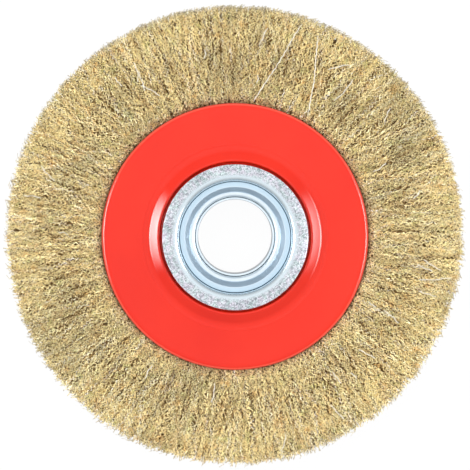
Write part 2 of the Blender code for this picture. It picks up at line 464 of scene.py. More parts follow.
def grainy_zinc():
    """Coarse grain on the flat of the flange, fading out where the sheet bends down."""
    finish = Finish("grainy_zinc", 1.0)
    place = finish.place()
    flat = past(finish.radius(), GRAIN_STARTS, 1.2 * MM)
    grain = finish.cells(place, 2400)
    coarse = finish.noise(place, 1000, 3, 0.65)
    patch = finish.noise(place, 130, 2)
    tint = finish.noise(place, 500, 2)
    bright = (0.40 * grain + 0.42 * coarse + 0.36 * patch - 0.08).clamped()
    silver = finish.ramp(bright, [(0.30, (0.29, 0.32, 0.35)), (0.5, (0.58, 0.62, 0.66)),
                                  (0.74, (0.88, 0.91, 0.95))])
    rainbow = finish.ramp(tint, [(0.36, (0.86, 1.0, 0.95)), (0.5, (0.97, 0.98, 1.0)),
                                 (0.64, (1.0, 0.89, 0.97))])
    grained = finish.mix(0.7, silver, rainbow, "MULTIPLY")
    finish.colour(finish.mix(flat, (0.72, 0.82, 0.88, 1), grained))
    finish.roughness(0.22 + flat * (0.04 + 0.20 * coarse))
    finish.bump(flat * (0.5 * grain + 0.5 * coarse), 0.35, 0.12 * MM)
    return finish.material


BRIGHT_ZINC = bright_zinc()
GRAINY_ZINC = grainy_zinc()
print("finishes:", BRIGHT_ZINC.name, GRAINY_ZINC.name)

# %% [markdown]
# The plates, collars and cups are all sheet metal pressed into round forms. By hand one would draw a
# ring of points, then extrude it and scale it again and again, a ring for each point of the section.
# The same is done here. The open surface then gets its wall from Solidify, which keeps the wall even
# round every bend, and a fine Bevel takes the sharpness off the cut edges.

# %% Pressed rings, extruded ring by ring
RING_FACETS = 160


def arc(centre_r, centre_z, radius, start_deg, end_deg, steps):
    """Points of a circle's arc in the section, both ends included."""
    angles = [math.radians(start_deg + (end_deg - start_deg) * i / steps) for i in range(steps + 1)]
    return [(centre_r + radius * math.cos(a), centre_z + radius * math.sin(a)) for a in angles]


def to_edit_mode(piece, kind):
    """Edit a piece, with all of it selected."""
    bpy.context.view_layer.objects.active = piece
    piece.select_set(True)
    bpy.ops.object.mode_set(mode="EDIT")
    bpy.ops.mesh.select_mode(type=kind)
    bpy.ops.mesh.select_all(action="SELECT")


def settle(piece):
    """Bring the object to the origin, unturned and unscaled, with its place in its mesh."""
    deselect_all()
    piece.select_set(True)
    bpy.context.view_layer.objects.active = piece
    bpy.ops.object.transform_apply(location=True, rotation=True, scale=True)


def faces_wrong_way(piece, section):
    """Whether the first turned face looks away from the left of the section's first step."""
    step_r = section[1][0] - section[0][0]
    step_z = section[1][1] - section[0][1]
    face = piece.data.polygons[0]
    outward = face.center.copy()
    outward.z = 0
    outward.normalize()
    along = face.normal.dot(outward) * -step_z + face.normal.z * step_r
    return along < 0


def rings_of(name, section):
    """An open surface: a ring of points for each point of the section."""
    deselect_all()
    first_r, first_z = section[0]
    bpy.ops.mesh.primitive_circle_add(vertices=RING_FACETS, radius=first_r, location=(0, 0, first_z))
    piece = bpy.context.object
    piece.name = name
    to_edit_mode(piece, "EDGE")
    for (r, z), (next_r, next_z) in zip(section, section[1:]):
        bpy.ops.mesh.extrude_edges_move(TRANSFORM_OT_translate={"value": (0, 0, next_z - z)})
        bpy.ops.transform.resize(value=(next_r / r, next_r / r, 1), center_override=(0, 0, 0))
    bpy.ops.object.mode_set(mode="OBJECT")
    return piece


def pressed_ring(name, section, sheet, edge_round, finish):
    """A ring of sheet metal whose visible face follows the section, from the axle outwards."""
    piece = rings_of(name, section)
    if faces_wrong_way(piece, section):
        to_edit_mode(piece, "FACE")
        bpy.ops.mesh.flip_normals()
        bpy.ops.object.mode_set(mode="OBJECT")
    settle(piece)
    wall = piece.modifiers.new("sheet", "SOLIDIFY")
    wall.thickness = sheet
    wall.offset = -1
    wall.use_even_offset = True
    edges = piece.modifiers.new("cut_edges", "BEVEL")
    edges.width = edge_round
    edges.segments = 2
    edges.limit_method = "ANGLE"
    edges.angle_limit = math.radians(50)
    for modifier in list(piece.modifiers):
        bpy.ops.object.modifier_apply(modifier=modifier.name)
    bpy.ops.object.shade_smooth_by_angle(angle=math.radians(40))
    piece.data.materials.append(finish)
    print(name, len(piece.data.polygons), "faces")
    return piece


def turned_over_copy(piece, name):
    """The same piece for the rear of the wheel, turned over about X."""
    twin = bpy.data.objects.new(name, piece.data.copy())
    bpy.context.scene.collection.objects.link(twin)
    twin.rotation_euler = (math.pi, 0, 0)
    settle(twin)
    return twin


def stand_in_for(piece, node):
    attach(piece, "root")
    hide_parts(node)


# %% [markdown]
# A side plate starts under the collar with a flat boss. It steps down in a soft S to the wide flat
# ring, with a fine crease at the foot of the step, and its rim is rolled over to nip the wires.

# %% The two red side plates
PLATE_SHEET = 1.2 * MM
PLATE_FACE = 9.0 * MM
PLATE_HOLE_RADIUS = 26.6 * MM
PLATE_GROOVE_FLOOR = 10.5 * MM
PLATE_GROOVE_RADIUS = 31.9 * MM
PLATE_BOSS_RADIUS = 33 * MM
PLATE_STEP_RUN = 6.1 * MM
PLATE_TOP_BEND = 0.4 * MM
PLATE_FOOT_BEND = 3.0 * MM
PLATE_CREASE_RADIUS = 40.0 * MM
PLATE_CREASE_HEIGHT = 0.2 * MM
PLATE_CREASE_HALF_WIDTH = 0.8 * MM
PLATE_RIM_ROLL = 1.9 * MM
PLATE_RIM_RUN = 3.2 * MM
PLATE_RIM_STEPS = 10
PLATE_EDGE_ROUND = 0.15 * MM


def plate_section():
    """Round the hole a groove that the collar's edge hangs over, then boss, step, flat and rim."""
    section = [(PLATE_HOLE_RADIUS, PLATE_GROOVE_FLOOR), (PLATE_GROOVE_RADIUS, PLATE_GROOVE_FLOOR)]
    lip = PLATE_BOSS_FACE - PLATE_GROOVE_FLOOR
    section += arc(PLATE_GROOVE_RADIUS + lip, PLATE_GROOVE_FLOOR, lip, 180, 90, 5)[1:]
    top = section[-1][0]
    foot = PLATE_BOSS_RADIUS + PLATE_STEP_RUN
    run = foot - PLATE_FOOT_BEND / 2 - top - PLATE_TOP_BEND / 2
    slope = math.atan2(PLATE_BOSS_FACE - PLATE_FACE, run)
    tight = PLATE_TOP_BEND / 2 / math.tan(slope / 2)
    wide = PLATE_FOOT_BEND / 2 / math.tan(slope / 2)
    section += arc(top, PLATE_BOSS_FACE - tight, tight, 90, 90 - math.degrees(slope), 4)[1:]
    section += arc(foot, PLATE_FACE + wide, wide, 270 - math.degrees(slope), 270, 8)
    for i in range(-2, 3):
        lift = PLATE_CREASE_HEIGHT * (1 + math.cos(math.pi * i / 2)) / 2
        section.append((PLATE_CREASE_RADIUS + PLATE_CREASE_HALF_WIDTH * i / 2, PLATE_FACE + lift))
    turns = [math.radians(90 * i / PLATE_RIM_STEPS) for i in range(PLATE_RIM_STEPS + 1)]
    rolled = [(PLATE_RADIUS - PLATE_RIM_RUN * (1 - math.sin(turn)),
               PLATE_FACE - PLATE_RIM_ROLL * (1 - math.cos(turn))) for turn in turns]
    return section + rolled + [(PLATE_RADIUS, PLATE_SKIRT)]


front_plate = pressed_ring("front_red_plate", plate_section(), PLATE_SHEET, PLATE_EDGE_ROUND,
                           RED_ENAMEL)
rear_plate = turned_over_copy(front_plate, "rear_red_plate")
stand_in_for(front_plate, "front_side_plate")
stand_in_for(rear_plate, "rear_side_plate")

# %% [markdown]
# A hub collar has a flat flange that the grinder's own flange bears on. Its inner edge rolls down
# over a rounded shoulder into a well, and a narrow seat at the foot of the well carries the bore cup.

# %% The two hub collars
COLLAR_SHEET = 1.5 * MM
COLLAR_WELL_RADIUS = 24 * MM
COLLAR_SHOULDER = 2.6 * MM
COLLAR_SEAT_WIDTH = 1.6 * MM
COLLAR_EDGE_ROUND = 0.3 * MM


def collar_section():
    seat = COLLAR_FOOT + COLLAR_SHEET
    section = [(COLLAR_WELL_RADIUS - COLLAR_SEAT_WIDTH, seat), (COLLAR_WELL_RADIUS, seat)]
    section += arc(COLLAR_WELL_RADIUS + COLLAR_SHOULDER, HUB_FACE - COLLAR_SHOULDER,
                   COLLAR_SHOULDER, 180, 90, 12)
    return section + [(COLLAR_RADIUS, HUB_FACE)]


front_collar = pressed_ring("front_zinc_collar", collar_section(), COLLAR_SHEET, COLLAR_EDGE_ROUND,
                            GRAINY_ZINC)
rear_collar = turned_over_copy(front_collar, "rear_zinc_collar")
stand_in_for(front_collar, "front_hub_collar")
stand_in_for(rear_collar, "rear_hub_collar")

# %% [markdown]
# A bore cup is pressed too: a ledge, a steep wall, a rounded lip and a tube. The tube of the rear cup
# passes through that of the front one, and its cut end shows as a thin ring inside the front lip.

# %% The two bore cups
CUP_SHEET = 1 * MM
CUP_LEDGE_WIDTH = 2.2 * MM
CUP_WALL_RUN = 2.2 * MM
CUP_WALL_DROP = 3.5 * MM
CUP_LIP_ROUND = 1.3 * MM
CUP_WALL_BEND = 0.25 * MM
CUP_FOOT_RISE = 0.22 * MM
CUP_EDGE_ROUND = 0.15 * MM
REAR_TUBE_RADIUS = 16 * MM
TUBE_GAP = 0.3 * MM


def cup_section(tube_radius, tube_end):
    """From the inner end of the tube up to the lip, out and up the wall, and along the ledge."""
    lip_face = CUP_LEDGE_FACE - CUP_WALL_DROP
    wall_top = CUP_LEDGE_RADIUS - CUP_LEDGE_WIDTH
    wall_foot = wall_top - CUP_WALL_RUN
    lip = arc(tube_radius + CUP_LIP_ROUND, lip_face - CUP_LIP_ROUND, CUP_LIP_ROUND, 180, 90, 8)
    return [(tube_radius, tube_end)] + lip + [
        (wall_foot, lip_face), (wall_foot + CUP_WALL_BEND, lip_face + CUP_FOOT_RISE),
        (wall_top - CUP_WALL_BEND, CUP_LEDGE_FACE - CUP_WALL_BEND), (wall_top, CUP_LEDGE_FACE),
        (CUP_LEDGE_RADIUS, CUP_LEDGE_FACE)]


front_section = cup_section(REAR_TUBE_RADIUS + CUP_SHEET + TUBE_GAP, FRONT_TUBE_END)
rear_section = cup_section(REAR_TUBE_RADIUS, -REAR_TUBE_END)
front_cup = pressed_ring("front_zinc_cup", front_section, CUP_SHEET, CUP_EDGE_ROUND, BRIGHT_ZINC)
rear_cup_upright = pressed_ring("rear_zinc_cup_upright", rear_section, CUP_SHEET, CUP_EDGE_ROUND,
                                BRIGHT_ZINC)
rear_cup = turned_over_copy(rear_cup_upright, "rear_zinc_cup")
bpy.data.objects.remove(rear_cup_upright)
stand_in_for(front_cup, "front_bore_cup")
stand_in_for(rear_cup, "rear_bore_cup")

# %% [markdown]
# The brush is steel wire with a thin coat of brass, crimped so that it springs. On the real wheel
# each wire is folded over a hoop and both its legs run out to the rim, many thousands of them. Drawn
# one by one from hoop to rim they would need far too many faces, so the brush is a core with wires
# laid thickly over it. The core is only seen down in the gaps, and is painted dark brown as the
# painted shade between deeper wires.

# %% The form of the brush, and its core
BRUSH_ROOT_FACE = PLATE_SKIRT - 0.3 * MM
BRUSH_FACE = BRUSH_HALF_WIDTH - 1.1 * MM
CORE_DEPTH = 1.9 * MM
CORE_RADIUS = 94.8 * MM
CORE_INNER_RADIUS = 50 * MM
CORE_EDGE_ROUND = 3 * MM
SWELL_QUICKNESS = 22
FREE_LENGTH = BRUSH_RADIUS - PLATE_RADIUS


def share_out(radius):
    """How far a place is from the plate's rim, 0, to the tips, 1."""
    return np.clip((radius - PLATE_RADIUS) / FREE_LENGTH, 0, 1)


def brush_face(radius):
    """Height of the brush's face: nipped at the plate's rim, and quickly higher outside it."""
    swell = 1 - (1 - share_out(radius)) ** SWELL_QUICKNESS
    return BRUSH_ROOT_FACE + (BRUSH_FACE - BRUSH_ROOT_FACE) * swell


def core_section():
    front = [(r, float(brush_face(r)) - CORE_DEPTH)
             for r in np.linspace(PLATE_RADIUS, CORE_RADIUS - CORE_EDGE_ROUND, 9)]
    corner_z = front[-1][1] - CORE_EDGE_ROUND
    front += arc(CORE_RADIUS - CORE_EDGE_ROUND, corner_z, CORE_EDGE_ROUND, 75, 0, 4)
    front = [(CORE_INNER_RADIUS, front[0][1])] + front
    rear = [(r, -z) for r, z in reversed(front)]
    return front + rear + front[:1]


def closed_ring(name, section, finish):
    """A solid ring whose section comes back to where it started."""
    piece = rings_of(name, section)
    to_edit_mode(piece, "VERT")
    bpy.ops.mesh.remove_doubles(threshold=0.001 * MM)
    bpy.ops.mesh.normals_make_consistent(inside=False)
    bpy.ops.object.mode_set(mode="OBJECT")
    settle(piece)
    bpy.ops.object.shade_smooth_by_angle(angle=math.radians(60))
    piece.data.materials.append(finish)
    print(name, len(piece.data.polygons), "faces")
    return piece


def shaded_wires():
    """Wires deep in the brush, in painted shade: strands drawn by noise that is stretched along the
    radius.
    """
    finish = Finish("shaded_wires", 0.9)
    x, y, z = finish.axes()
    radius = finish.radius()
    around = finish.node("ShaderNodeCombineXYZ", None,
                         {0: x / radius * 95, 1: y / radius * 95, 2: radius * 260 + z * 600})
    strand = finish.noise(around.outputs[0], 1.6, 3, 0.7)
    finish.colour(finish.ramp(strand, [(0.36, (0.08, 0.045, 0.018)), (0.52, (0.20, 0.125, 0.05)),
                                       (0.66, (0.44, 0.31, 0.15))]))
    finish.roughness(0.35 + 0.3 * strand)
    finish.bump(strand, 0.8, 0.5 * MM)
    return finish.material


core = closed_ring("brush_core", core_section(), shaded_wires())
stand_in_for(core, "wire_fill")

# %% [markdown]
# One short length of crimped wire starts as a small triangle. It is extruded to and fro, a little
# further at each bend, and no two bends are quite alike. Three sides are enough for a wire that is
# one pixel wide, and twelve bends keep it under forty faces. A few different lengths are made, so
# that the eye finds no repeat. Each also gets a flat map, its three sides laid out as three strips,
# because a bake of thousands of wires needs a place on the map for each face.

# %% A few crimped lengths of wire
WireShape = namedtuple("WireShape", "points corners sizes flat_map length")
WireKind = namedtuple("WireKind", "bends run sway twist radius")
FINE = WireKind(12, 1.0 * MM, 0.80 * MM, 0.42 * MM, 0.19 * MM)
COARSE = WireKind(12, 1.8 * MM, 0.50 * MM, 0.40 * MM, 0.27 * MM)
STUB = WireKind(4, 1.6 * MM, 0.42 * MM, 0.30 * MM, 0.24 * MM)
WIRE_SIDES = 3
BEND_SWAYS = (0.45, 1.35)
BEND_RUNS = (0.7, 1.3)
END_CAP = 0.04
STRIP_START = 0.06
STRIP_LENGTH = 0.88
STRIP_EDGE = 0.05


def wire_by_hand(name, kind, draw):
    deselect_all()
    bpy.ops.mesh.primitive_circle_add(vertices=WIRE_SIDES, radius=kind.radius, fill_type="NGON")
    wire = bpy.context.object
    wire.name = name
    to_edit_mode(wire, "FACE")
    was = twist_was = 0
    for bend in range(kind.bends):
        sway = (-1) ** bend * kind.sway * draw.uniform(*BEND_SWAYS)
        twist = kind.twist * draw.uniform(-1, 1)
        run = kind.run * draw.uniform(*BEND_RUNS)
        bpy.ops.mesh.extrude_region_move(
            TRANSFORM_OT_translate={"value": (sway - was, twist - twist_was, run)})
        was, twist_was = sway, twist
    bpy.ops.mesh.select_all(action="SELECT")
    bpy.ops.mesh.normals_make_consistent(inside=False)
    bpy.ops.object.mode_set(mode="OBJECT")
    return wire


def strips_of(mesh, spots):
    """Where each face corner lies on the wire's flat map: along the wire, and round it."""
    length = spots[:, 2].max()
    bend = np.unique(spots[:, 2].round(7), return_inverse=True)[1].ravel()
    middle = np.array([spots[bend == b].mean(axis=0) for b in range(bend.max() + 1)])[bend]
    angle = np.arctan2(spots[:, 1] - middle[:, 1], spots[:, 0] - middle[:, 0])
    flat_map = []
    for face in mesh.polygons:
        corners = list(face.vertices)
        if len(corners) == WIRE_SIDES:
            end = 0.0 if spots[corners[0], 2] < length / 2 else 1 - END_CAP
            flat_map += [(end, 0.1), (end + END_CAP, 0.1), (end + END_CAP / 2, 0.9)]
            continue
        face_angle = np.arctan2(np.sin(angle[corners]).sum(), np.cos(angle[corners]).sum())
        side = round(face_angle / (2 * math.pi) * WIRE_SIDES - 0.5) % WIRE_SIDES
        for corner in corners:
            past_middle = math.sin(angle[corner] - face_angle) > 0
            flat_map.append((STRIP_START + STRIP_LENGTH * spots[corner, 2] / length,
                             (side + (1 - STRIP_EDGE if past_middle else STRIP_EDGE)) / WIRE_SIDES))
    return np.array(flat_map)


def wire_shape(name, kind, draw):
    wire = wire_by_hand(name, kind, draw)
    mesh = wire.data
    points = np.array([vertex.co for vertex in mesh.vertices])
    corners = np.array([corner for face in mesh.polygons for corner in face.vertices])
    sizes = np.array([len(face.vertices) for face in mesh.polygons])
    shape = WireShape(points, corners, sizes, strips_of(mesh, points), points[:, 2].max())
    bpy.data.objects.remove(wire)
    return shape


shape_draw = np.random.default_rng(11)
FINE_WIRES = [wire_shape("fine_wire_%d" % i, FINE, shape_draw) for i in range(6)]
COARSE_WIRES = [wire_shape("coarse_wire_%d" % i, COARSE, shape_draw) for i in range(5)]
STUB_WIRES = [wire_shape("stub_wire_%d" % i, STUB, shape_draw) for i in range(5)]
for shapes in (FINE_WIRES, COARSE_WIRES, STUB_WIRES):
    print("lengths in mm:", [round(w.length / MM, 1) for w in shapes], "faces:", len(shapes[0].sizes))

# %% [markdown]
# Wires in a brush don't stand like spokes. They lean together in loose tufts with thin dark partings
# between them, and the rim is trimmed only roughly round: on this wheel the wires reach almost a
# millimetre further on one side. A sum of waves round the wheel gives the tufts, and each parting
# pushes the wires near it aside. Two partings lie where the photograph shows them, and the others
# fall by chance.

# %% Tufts, partings and ragged tips
OFF_CENTRE = 0.8 * MM
TALLER_THAN_WIDE = 0.9 * MM
TIP_BASE_RADIUS = 97.2 * MM
TIP_TAIL = 0.75 * MM
TIP_LIMIT = BRUSH_RADIUS - 0.3 * MM
LIMIT_SPREAD_MM = 1.2
TIP_CLUMP = 0.14 * MM
CLUMP_WAVES = 8
TUFT_WAVES = 16
TUFTS_ROUND = (9, 64)
TUFT_SLANT = 60
TUFT_SWAY = 0.14 * MM
SEEN_PUSH = 1.5 * MM
SMALL_PUSH = 0.26 * MM
PARTING_WIDTH = 0.9 * MM
SMALL_PARTINGS = 90
WANDER_MM, WANDER_LENGTH_MM = (0.15, 0.55), (2.2, 4.5)
DIVE_MM, DIVE_LENGTH_MM = (0.15, 0.5), (0.28, 0.6)
FULL_TURN = 2 * math.pi
Parting = namedtuple("Parting", "degrees near_mm far_mm push")

lay_draw = np.random.default_rng(5)
tuft_waves = [(int(k), lay_draw.uniform(0, FULL_TURN), lay_draw.uniform(-TUFT_SLANT, TUFT_SLANT))
              for k in lay_draw.integers(*TUFTS_ROUND, TUFT_WAVES)]
SEEN_PARTINGS = [Parting(-85.0, 65, 83, SEEN_PUSH), Parting(-100.5, 62, 78, SEEN_PUSH)]
partings = SEEN_PARTINGS + [Parting(degrees, near, near + lay_draw.uniform(7, 18), SMALL_PUSH)
                            for degrees, near in zip(lay_draw.uniform(0, 360, SMALL_PARTINGS),
                                                     lay_draw.uniform(57, 90, SMALL_PARTINGS))]


def tuft_shift(angle, radius):
    """How far sideways the tufts and partings carry a wire at this place."""
    shift = sum(TUFT_SWAY * np.sin(k * angle + phase + slant * radius)
                for k, phase, slant in tuft_waves) * share_out(radius)
    for parting in partings:
        off = (angle - math.radians(parting.degrees) + math.pi) % FULL_TURN - math.pi
        off = off * radius / PARTING_WIDTH
        middle = (parting.near_mm + parting.far_mm) / 2 * MM
        half = (parting.far_mm - parting.near_mm) / 2 * MM
        here = np.exp(-off ** 2 / 2 - ((radius - middle) / half) ** 4)
        shift = shift + parting.push * off * here
    return shift


def tip_radius(angle, draw):
    """Where a wire at this angle is cut off: a rough circle with a few longer tips."""
    clump = sum(np.sin(k * angle + phase) for k, phase, slant in tuft_waves[:CLUMP_WAVES]) * TIP_CLUMP
    tail = draw.exponential(TIP_TAIL, angle.shape)
    reach = TIP_BASE_RADIUS + OFF_CENTRE * np.sin(angle) - TALLER_THAN_WIDE / 2 * np.cos(2 * angle)
    reach = reach + clump + tail
    return np.minimum(reach, TIP_LIMIT - draw.uniform(0, LIMIT_SPREAD_MM, angle.shape) * MM)


def chance_wave(along, heights_mm, lengths_mm, count, draw):
    """A slow wave along each of many copies, with a height, a length and a start by chance."""
    return draw.uniform(*heights_mm, (count, 1)) * MM * np.sin(
        along / draw.uniform(*lengths_mm, (count, 1)) / MM + draw.uniform(0, FULL_TURN, (count, 1)))


def bent_round(shape, start_angle, start_radius, roll, lean, height_at, crimp, draw):
    """Points of many copies of a wire, each turned about its length and laid outwards."""
    count = len(start_angle)
    x, y, along = (shape.points[:, i][None, :] for i in range(3))
    wander = chance_wave(along, WANDER_MM, WANDER_LENGTH_MM, count, draw)
    dive = chance_wave(along, DIVE_MM, DIVE_LENGTH_MM, count, draw)
    turn = roll[:, None]
    sway = x * crimp[:, None]
    across = sway * np.cos(turn) - y * np.sin(turn) + wander + np.tan(lean)[:, None] * along
    up = sway * np.sin(turn) + y * np.cos(turn) + dive
    radius = start_radius[:, None] + along
    angle = start_angle[:, None] + across / radius
    angle = angle + tuft_shift(angle, radius) / radius
    height = height_at(radius, along / shape.length) + up
    return np.stack([radius * np.cos(angle), radius * np.sin(angle), height], axis=2)


print("partings:", len(partings))

# %% [markdown]
# All copies of one layer become one mesh, because thousands of objects would be slow and awkward.
# Each wire keeps its own share of the flat map and its own number, a tint, from which the brass
# finish takes its colour.

# %% Many wires in one mesh
MAP_MARGIN = 0.04


def joined(name, batches, finish):
    """One mesh of all the copies, which stands in for the wires of the model."""
    total = sum(len(tint) for shape, points, tint in batches)
    columns = math.ceil(math.sqrt(total / 2))
    rows = math.ceil(total / columns)
    points, corners, sizes, maps, tints = [], [], [], [], []
    laid = 0
    first = 0
    for shape, bent, tint in batches:
        number = np.arange(len(tint))
        starts = first + number * len(shape.points)
        points.append(bent.reshape(-1, 3))
        corners.append((shape.corners[None, :] + starts[:, None]).ravel())
        sizes.append(np.tile(shape.sizes, len(tint)))
        cell = np.stack([(laid + number) % columns, (laid + number) // columns], axis=1)
        in_cell = MAP_MARGIN + (1 - 2 * MAP_MARGIN) * shape.flat_map[None]
        maps.append(((cell[:, None, :] + in_cell) / (columns, rows)).reshape(-1, 2))
        tints.append(np.repeat(tint, len(shape.points)))
        laid += len(tint)
        first += len(tint) * len(shape.points)
    points, corners, sizes, maps, tints = (
        np.concatenate(part) for part in (points, corners, sizes, maps, tints))
    face_starts = np.concatenate([[0], np.cumsum(sizes)[:-1]])
    mesh = bpy.data.meshes.new(name)
    mesh.vertices.add(len(points))
    mesh.vertices.foreach_set("co", points.ravel())
    mesh.loops.add(len(corners))
    mesh.loops.foreach_set("vertex_index", corners.astype(np.int32))
    mesh.polygons.add(len(sizes))
    mesh.polygons.foreach_set("loop_start", face_starts.astype(np.int32))
    mesh.update(calc_edges=True)
    mesh.uv_layers.new(name="OFBake").data.foreach_set("uv", maps.ravel())
    mesh.attributes.new("tint", "FLOAT", "POINT").data.foreach_set("value", tints)
    mesh.shade_flat()
    mesh.materials.append(finish)
    piece = bpy.data.objects.new(name, mesh)
    bpy.context.scene.collection.objects.link(piece)
    stand_in_for(piece, "wire_fill")
    print(name, total, "wires", sum(sizes - 2), "triangles")
    return piece


# %% [markdown]
# Brass-coated wire is pale gold. Deep under the face of the brush it is painted brown, a painted
# shade that grows with the depth. Each wire has its own gold from its tint, and fine dark dashes of
# painted shade stand for the gaps and for bends that turn away from the light. Next to the plate's
# rim the wires are painted darker and redder as a painted shadow, and the wires' cut ends show grey
# steel.

# %% Brassy wire
SHADE_STARTS = 1.25 * MM
SHADE_FULL = 2.2 * MM
RIM_SHADOW_WIDTH = 2.2 * MM
DASHES_FROM = 80 * MM
FEWER_DASHES_FROM = 92.5 * MM
CUT_ENDS_FROM = TIP_BASE_RADIUS - 0.2 * MM


def brassy_wire():
    """Brass-coated wire, with painted shade that darkens it deeper in the brush."""
    finish = Finish("brassy_wire", 0.3)
    place = finish.place()
    radius = finish.radius()
    height = finish.axes()[2].size()
    tint = finish.amount("ShaderNodeAttribute", "Fac", {"attribute_name": "tint"})
    apart = finish.node("ShaderNodeCombineXYZ", None, {0: tint * 3.0, 1: tint * 5.0, 2: tint * 7.0})
    own_place = finish.node("ShaderNodeVectorMath", {"operation": "ADD"},
                            {0: place, 1: apart.outputs[0]}).outputs[0]
    own = finish.ramp(tint, [(0.0, (0.90, 0.70, 0.40)), (0.10, (0.97, 0.82, 0.49)),
                             (0.22, (0.97, 0.86, 0.49)), (0.40, (1.0, 0.875, 0.51)),
                             (0.65, (1.0, 0.895, 0.545)), (0.90, (1.0, 0.93, 0.63)),
                             (0.98, (1.0, 0.95, 0.84)), (1.0, (1.0, 0.96, 0.90))])
    swell = (1 - past(radius, PLATE_RADIUS, FREE_LENGTH)).power(SWELL_QUICKNESS)
    face = BRUSH_FACE - (BRUSH_FACE - BRUSH_ROOT_FACE) * swell
    depth = (face - height).at_most(TIP_BASE_RADIUS - radius)
    deep = past(depth, SHADE_STARTS, SHADE_FULL - SHADE_STARTS)
    # Painted shade: the gold is painted down to dark brown with the depth under the brush's face.
    shade = finish.ramp(deep, [(0.0, (1, 1, 1)), (0.4, (0.80, 0.70, 0.56)),
                               (1.0, (0.14, 0.08, 0.035))])
    # Painted shadow: beside the plate's rim the wires are painted darker and redder, with more dark
    # dashes.
    clear_of_rim_shadow = past(radius, PLATE_RADIUS, RIM_SHADOW_WIDTH)
    rim_shadow = finish.ramp(clear_of_rim_shadow, [(0.0, (1.0, 0.89, 0.82)), (1.0, (1, 1, 1))])
    # Painted shade: near-black dashes stand for gaps between wires and bends turned from the light. The
    # same noise also varies the roughness.
    wear_and_dash_noise = finish.noise(own_place, 1700, 1, 0.5)
    outer = past(radius, DASHES_FROM, 9 * MM) - 1.6 * past(radius, FEWER_DASHES_FROM, 5 * MM)
    dash_shade = finish.ramp(wear_and_dash_noise + 0.025 * outer - 0.06 * (1 - clear_of_rim_shadow), [
        (0.375, (0.03, 0.015, 0.008)), (0.42, (0.76, 0.63, 0.46)), (0.46, (1, 1, 1))])
    hue = finish.ramp(finish.noise(place, 260, 2, 0.6), [
        (0.30, (0.97, 0.86, 0.72)), (0.42, (1, 1, 1)), (0.58, (1, 1, 1)), (0.70, (0.90, 0.95, 0.84))])
    faded = finish.ramp(finish.noise(place, 38, 2, 0.5), [
        (0.34, (0.85, 0.85, 0.85)), (0.52, (1, 1, 1))])
    shaded_gold = finish.times(finish.times(own, shade), finish.times(dash_shade, faded))
    shaded_tinged_gold = finish.times(shaded_gold, finish.times(hue, rim_shadow))
    cut_end = past(radius, CUT_ENDS_FROM, 1.6 * MM) * 0.6
    finish.colour(finish.mix(cut_end, shaded_tinged_gold, (0.50, 0.47, 0.42, 1)))
    finish.roughness(0.38 + 0.18 * wear_and_dash_noise)
    finish.shader.inputs["Specular IOR Level"].default_value = 0.2
    return finish.material


BRASSY_WIRE = brassy_wire()
print("finish:", BRASSY_WIRE.name)

# %% [markdown]
# The wires of a face are laid in three courses, like thatch. The first comes out from under the
# plate's rim, the last ends in the ragged rim, and the one between covers their ends. Each length
# rises out of the depth and sinks into it again, so that no cut end shows inside the brush.

# %% The wires of the two faces
PLATE_COURSE_MM = (51.5, 56.5)
MIDDLE_COURSE_MM = 57
PLATE_SHARE = 0.22
RIM_SHARE = 0.28
FACE_MARGIN = 0.3 * MM
FACE_LEAN = math.radians(13)
FACE_ROLL = math.radians(34)
CRIMPS = (0.7, 1.25)
SINKING_SHARE = 0.3
SUNK_AT_PLATE = 0.2 * MM
SUNK_AT_START = 1.2 * MM
SUNK_AT_END = 1.4 * MM
EVEN_STEPS = (0.7548776662, 0.5698402910)


def spread(count, draw):
    """Pairs of numbers from 0 to 1 that fill a square far more evenly than chance does."""
    number = np.arange(count) + draw.integers(0, 5000)
    return [(number * step) % 1 for step in EVEN_STEPS]


def sinking(share, run):
    """How much of its way down a wire has gone, near its start and near its end."""
    return (np.clip(1 - share / run, 0, 1) ** 2, np.clip((share - (1 - run)) / run, 0, 1) ** 2)


def courses(count, length, draw):
    """Start angle and start radius of each wire, and which come from the plate or reach the rim."""
    from_plate = round(count * PLATE_SHARE)
    to_rim = round(count * RIM_SHARE)
    plate_turn, plate_out = spread(from_plate, draw)
    middle_turn, middle_out = spread(count - from_plate - to_rim, draw)
    rim_turn, rim_out = spread(to_rim, draw)
    nearest, farthest = PLATE_COURSE_MM
    middle_end = TIP_BASE_RADIUS / MM - length / MM
    growth = middle_end ** 2 - MIDDLE_COURSE_MM ** 2
    middle = np.sqrt(MIDDLE_COURSE_MM ** 2 + growth * middle_out)
    angle = FULL_TURN * np.concatenate([plate_turn, middle_turn, rim_turn])
    start = MM * np.concatenate([nearest + (farthest - nearest) * plate_out, middle,
                                 middle_end + rim_out])
    order = np.arange(count)
    return angle, start, order < from_plate, order >= count - to_rim


def face_wires(name, shapes, count, shallow, deep, seed, side=1):
    """One layer of wires on a face, from shallow to deep under it, in millimetres."""
    draw = np.random.default_rng(seed)
    angle, start, from_plate, to_rim = courses(count, shapes[0].length, draw)
    pick = draw.integers(0, len(shapes), count)
    batches = []
    for i, shape in enumerate(shapes):
        mine = pick == i
        a = angle[mine]
        latest = tip_radius(a * side, draw) - shape.length
        s = np.where(to_rim[mine], latest, np.minimum(start[mine], latest))
        base = draw.uniform(shallow, deep, (len(a), 1)) * MM
        sunk_in = np.where(from_plate[mine], SUNK_AT_PLATE, SUNK_AT_START)[:, None]
        sunk_out = np.where(to_rim[mine], 0.0, SUNK_AT_END)[:, None]

        def height_at(radius, share):
            near_start, near_end = sinking(share, SINKING_SHARE)
            depth = base + sunk_in * near_start + sunk_out * near_end
            return brush_face(radius) - FACE_MARGIN - depth

        points = bent_round(shape, a, s, draw.normal(0, FACE_ROLL, len(a)),
                            draw.normal(0, FACE_LEAN, len(a)), height_at,
                            draw.uniform(*CRIMPS, len(a)), draw)
        batches.append((shape, points, draw.uniform(0, 1, len(a))))
    return joined(name, batches, BRASSY_WIRE)


